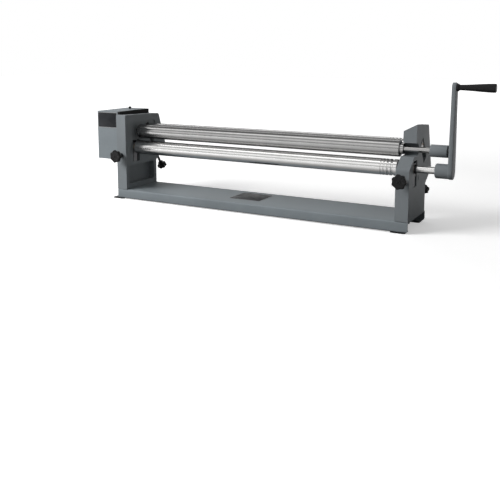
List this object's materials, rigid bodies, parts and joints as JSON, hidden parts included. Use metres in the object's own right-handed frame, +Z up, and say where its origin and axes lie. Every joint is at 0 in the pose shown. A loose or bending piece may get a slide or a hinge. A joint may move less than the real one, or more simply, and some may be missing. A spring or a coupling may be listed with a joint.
{
  "type": "bench slip roll",
  "caption": "Manual bench slip roll: three long steel rolls between two cast housings on a folded base, with crank, guarded gears and adjusting knobs.",
  "frame": {"origin": "under the middle of the machine's bounding box, on the bench plane", "axes": "+X along the rolls towards the crank, +Y away from the operator, +Z up"},
  "size_m": [1.8076, 0.3922, 0.5782],
  "materials": {
    "grey_enamel": "semi-gloss machine enamel",
    "ground_steel": "ground and polished along the roll",
    "dark_steel": "blackened",
    "cast_iron": "machined and oiled",
    "bronze": "machined bearing bronze",
    "black_plastic": "moulded black",
    "black_rubber": "matt"
  },
  "bodies": {
    "base_frame": {"base_channel": "grey_enamel", "foot_front_left": "dark_steel", "foot_rear_left": "dark_steel", "foot_front_right": "dark_steel", "foot_rear_right": "dark_steel", "housing_bolt_1": "dark_steel", "housing_bolt_2": "dark_steel", "housing_bolt_3": "dark_steel", "housing_bolt_4": "dark_steel", "housing_bolt_5": "dark_steel", "housing_bolt_6": "dark_steel", "housing_bolt_7": "dark_steel", "housing_bolt_8": "dark_steel", "left_housing": "grey_enamel", "right_housing": "grey_enamel", "swivel_plug": "dark_steel", "gear_guard": "grey_enamel", "guard_lid": "grey_enamel", "guard_seal": "black_rubber", "lid_screw": "black_plastic", "guard_screw_1": "dark_steel", "guard_screw_2": "dark_steel", "guard_screw_3": "dark_steel", "guard_screw_4": "dark_steel"},
    "lower_carriage": {"front_block_left": "cast_iron", "front_block_right": "cast_iron", "front_bush_left": "bronze", "front_bush_right": "bronze"},
    "lower_roll": {"lower_roll": "ground_steel", "lower_gear": "cast_iron", "lower_gear_nut": "dark_steel", "shaft_collar": "dark_steel", "crank_arm": "grey_enamel", "crank_set_screw": "dark_steel", "handle_spindle": "ground_steel", "handle_collar": "black_plastic"},
    "crank_grip": {"crank_grip": "black_plastic"},
    "front_wedge_left": {"front_wedge_left": "cast_iron"},
    "front_wedge_right": {"front_wedge_right": "cast_iron"},
    "front_screw_left": {"front_screw_left": "dark_steel", "front_knob_left": "black_plastic"},
    "front_screw_right": {"front_screw_right": "dark_steel", "front_knob_right": "black_plastic"},
    "rear_carriage": {"rear_block_left": "cast_iron", "rear_block_right": "cast_iron", "rear_bush_left": "bronze", "rear_bush_right": "bronze"},
    "rear_roll": {"rear_roll": "ground_steel"},
    "rear_screw_left": {"rear_screw_left": "dark_steel", "rear_knob_left": "black_plastic"},
    "rear_screw_right": {"rear_screw_right": "dark_steel", "rear_knob_right": "black_plastic"},
    "top_swing": {"swivel_barrel": "bronze"},
    "top_roll": {"top_roll": "ground_steel", "top_gear": "cast_iron", "top_gear_nut": "dark_steel"},
    "release_sleeve": {"release_sleeve": "grey_enamel", "sleeve_cap": "black_plastic"}
  },
  "joints": [
    {"name": "lower_carriage_lift", "type": "slide", "parent": "base_frame", "child": "lower_carriage", "axis": [0, 0, 1], "range_m": [0, 0.01]},
    {"name": "lower_roll_spin", "type": "hinge", "parent": "lower_carriage", "child": "lower_roll", "pos_m": [-0.0818, -0.06564, 0.24218], "axis": [1, 0, 0], "continuous": true},
    {"name": "crank_grip_spin", "type": "hinge", "parent": "lower_roll", "child": "crank_grip", "pos_m": [-0.0818, -0.06564, 0.55968], "axis": [1, 0, 0], "continuous": true},
    {"name": "rear_carriage_slide", "type": "slide", "parent": "base_frame", "child": "rear_carriage", "axis": [0, -0.5693, 0.8221], "range_m": [-0.045, 0.01]},
    {"name": "rear_roll_spin", "type": "hinge", "parent": "rear_carriage", "child": "rear_roll", "pos_m": [-0.0818, 0.03736, 0.315], "axis": [1, 0, 0], "continuous": true},
    {"name": "top_roll_swing", "type": "hinge", "parent": "base_frame", "child": "top_swing", "pos_m": [-0.7563, -0.04564, 0.3155], "axis": [0, 0.1386, 0.9903], "range_deg": [-2.86, 0]},
    {"name": "top_roll_spin", "type": "hinge", "parent": "top_swing", "child": "top_roll", "pos_m": [-0.0818, -0.04564, 0.3155], "axis": [1, 0, 0], "continuous": true},
    {"name": "release_sleeve_slide", "type": "slide", "parent": "top_swing", "child": "release_sleeve", "axis": [1, 0, 0], "range_m": [-0.08, 0]},
    {"name": "front_wedge_left_slide", "type": "slide", "parent": "base_frame", "child": "front_wedge_left", "axis": [0, 1, 0], "range_m": [0, 0.0167]},
    {"name": "front_screw_left_turn", "type": "hinge", "parent": "base_frame", "child": "front_screw_left", "pos_m": [-0.7553, -0.14414, 0.2085], "axis": [0, 1, 0], "range_deg": [-1501, 0]},
    {"name": "rear_screw_left_turn", "type": "hinge", "parent": "rear_carriage", "child": "rear_screw_left", "pos_m": [-0.7553, 0.03736, 0.315], "axis": [0, -0.5693, 0.8221], "range_deg": [-4051, 901]},
    {"name": "front_wedge_right_slide", "type": "slide", "parent": "base_frame", "child": "front_wedge_right", "axis": [0, 1, 0], "range_m": [0, 0.0167]},
    {"name": "front_screw_right_turn", "type": "hinge", "parent": "base_frame", "child": "front_screw_right", "pos_m": [0.5917, -0.14414, 0.2085], "axis": [0, 1, 0], "range_deg": [-1501, 0]},
    {"name": "rear_screw_right_turn", "type": "hinge", "parent": "rear_carriage", "child": "rear_screw_right", "pos_m": [0.5917, 0.03736, 0.315], "axis": [0, -0.5693, 0.8221], "range_deg": [-4051, 901]}
  ],
  "couplings": [
    {"joint": "top_roll_spin", "follows": "lower_roll_spin", "ratio": -1},
    {"joint": "front_wedge_left_slide", "follows": "lower_carriage_lift", "ratio": 1.6667},
    {"joint": "front_screw_left_turn", "follows": "lower_carriage_lift", "rad_per_m": -2618},
    {"joint": "rear_screw_left_turn", "follows": "rear_carriage_slide", "rad_per_m": 1570.8},
    {"joint": "front_wedge_right_slide", "follows": "lower_carriage_lift", "ratio": 1.6667},
    {"joint": "front_screw_right_turn", "follows": "lower_carriage_lift", "rad_per_m": -2618},
    {"joint": "rear_screw_right_turn", "follows": "rear_carriage_slide", "rad_per_m": 1570.8}
  ]
}
